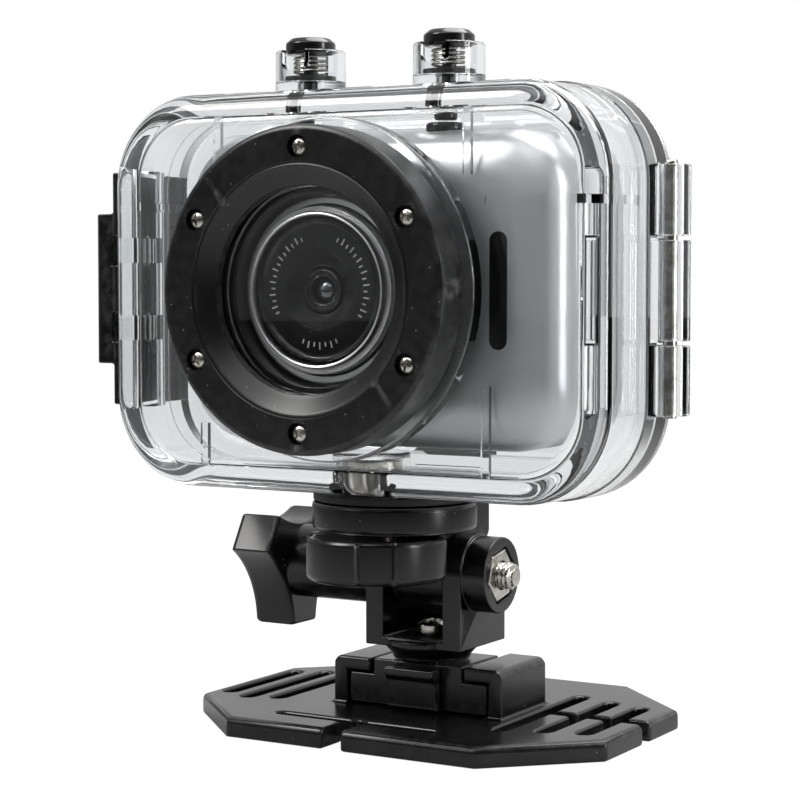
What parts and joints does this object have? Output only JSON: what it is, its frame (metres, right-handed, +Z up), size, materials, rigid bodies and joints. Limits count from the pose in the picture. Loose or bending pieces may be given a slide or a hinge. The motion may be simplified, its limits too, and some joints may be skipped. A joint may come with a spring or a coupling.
{
  "type": "action camera in waterproof case",
  "caption": "Small silver camera in a clear hinged dive case with push buttons and a side latch, on a tilting quick-release strap plate.",
  "frame": {"origin": "on the strap plate's underside, directly below the crossing of the pan and tilt axes", "axes": "+Z up, the lens faces -Y, +X to the right of someone who looks at the lens"},
  "size_m": [0.0906, 0.0623, 0.0992],
  "materials": {
    "black_plastic": "satin moulded",
    "nickel_steel": "nickel plated",
    "clear_polycarbonate": "clear moulded polycarbonate",
    "port_glass": "flat clear pane",
    "satin_black": "satin black",
    "black_rubber": "matt",
    "silicone_seal": "clear silicone",
    "brass": "turned",
    "silver_paint": "fine metallic paint",
    "gloss_black": "gloss",
    "lens_glass": "coated lens",
    "circuit_board": "green board",
    "battery_wrap": "shrink wrap",
    "screen_glass": "gloss black screen"
  },
  "bodies": {
    "base": {"base_plate": "black_plastic"},
    "buckle": {"buckle": "black_plastic", "pan_screw": "nickel_steel", "pan_nut": "nickel_steel"},
    "catch": {"release_tab": "black_plastic"},
    "clevis": {"clevis": "black_plastic", "clamp_nut": "nickel_steel"},
    "knob": {"clamp_knob": "black_plastic", "clamp_bolt": "nickel_steel"},
    "arm": {"tilt_arm": "black_plastic", "pad_cushion": "black_rubber"},
    "wheel": {"thumbwheel": "black_plastic", "tripod_screw": "nickel_steel"},
    "case": {"case_front": "clear_polycarbonate", "tripod_insert": "brass", "port_glass": "port_glass", "port_gasket": "black_rubber", "port_sleeve": "satin_black", "lens_bezel": "satin_black", "bezel_screw_1": "nickel_steel", "bezel_screw_2": "nickel_steel", "bezel_screw_3": "nickel_steel", "bezel_screw_4": "nickel_steel", "bezel_screw_5": "nickel_steel", "bezel_screw_6": "nickel_steel", "hinge_pin": "nickel_steel", "latch_pin": "nickel_steel", "button_seal_left": "black_rubber", "button_seal_right": "black_rubber", "button_spring_left": "nickel_steel", "button_spring_right": "nickel_steel", "cam_front_shell": "silver_paint", "cam_back_shell": "silver_paint", "cam_lens_ring": "silver_paint", "cam_lens_plate": "gloss_black", "cam_lens_barrel": "gloss_black", "cam_lens_glass": "lens_glass", "cam_sensor": "circuit_board", "cam_main_board": "circuit_board", "cam_battery": "battery_wrap", "cam_screen": "screen_glass"},
    "door": {"case_door": "clear_polycarbonate", "door_seal": "silicone_seal"},
    "latch": {"latch_lever": "black_plastic"},
    "button_left": {"button_left": "black_plastic"},
    "button_right": {"button_right": "black_plastic"},
    "key_left": {"cam_button_left": "black_plastic"},
    "key_right": {"cam_button_right": "black_plastic"}
  },
  "joints": [
    {"name": "buckle_slide", "type": "slide", "parent": "base", "child": "buckle", "axis": [0, -1, 0], "range_m": [0, 0.015]},
    {"name": "catch_pull", "type": "hinge", "parent": "buckle", "child": "catch", "pos_m": [0, -0.0055, 0.0041], "axis": [1, 0, 0], "range_deg": [0, 12], "stiffness_Nm_per_rad": 0.05, "springref_deg": -5.73},
    {"name": "pan", "type": "hinge", "parent": "buckle", "child": "clevis", "pos_m": [0, 0, 0.0136], "axis": [0, 0, 1], "continuous": true},
    {"name": "clamp_turn", "type": "hinge", "parent": "clevis", "child": "knob", "pos_m": [0, 0, 0.023], "axis": [1, 0, 0], "continuous": true},
    {"name": "tilt", "type": "hinge", "parent": "clevis", "child": "arm", "pos_m": [0, 0, 0.023], "axis": [1, 0, 0], "range_deg": [-30, 30]},
    {"name": "wheel_turn", "type": "hinge", "parent": "arm", "child": "wheel", "pos_m": [0, -0.0157, 0.02985], "axis": [0, 0, 1], "continuous": true},
    {"name": "case_turn", "type": "hinge", "parent": "arm", "child": "case", "pos_m": [0, -0.0157, 0.0355], "axis": [0, 0, 1], "range_deg": [-180, 180]},
    {"name": "door_open", "type": "hinge", "parent": "case", "child": "door", "pos_m": [0.0417, -0.0101, 0.064], "axis": [0, 0, -1], "range_deg": [0, 160]},
    {"name": "latch_open", "type": "hinge", "parent": "case", "child": "latch", "pos_m": [-0.0404, -0.0175, 0.064], "axis": [0, 0, 1], "range_deg": [0, 70]},
    {"name": "button_left_press", "type": "slide", "parent": "case", "child": "button_left", "axis": [0, 0, -1], "range_m": [0, 0.001], "stiffness_N_per_m": 400, "springref_m": -0.001, "deforming": ["button_spring_left"]},
    {"name": "button_right_press", "type": "slide", "parent": "case", "child": "button_right", "axis": [0, 0, -1], "range_m": [0, 0.001], "stiffness_N_per_m": 400, "springref_m": -0.001, "deforming": ["button_spring_right"]},
    {"name": "key_left_press", "type": "slide", "parent": "case", "child": "key_left", "axis": [0, 0, -1], "range_m": [0, 0.001]},
    {"name": "key_right_press", "type": "slide", "parent": "case", "child": "key_right", "axis": [0, 0, -1], "range_m": [0, 0.001]}
  ],
  "couplings": [
    {"joint": "key_left_press", "follows": "button_left_press", "ratio": 1},
    {"joint": "key_right_press", "follows": "button_right_press", "ratio": 1}
  ]
}
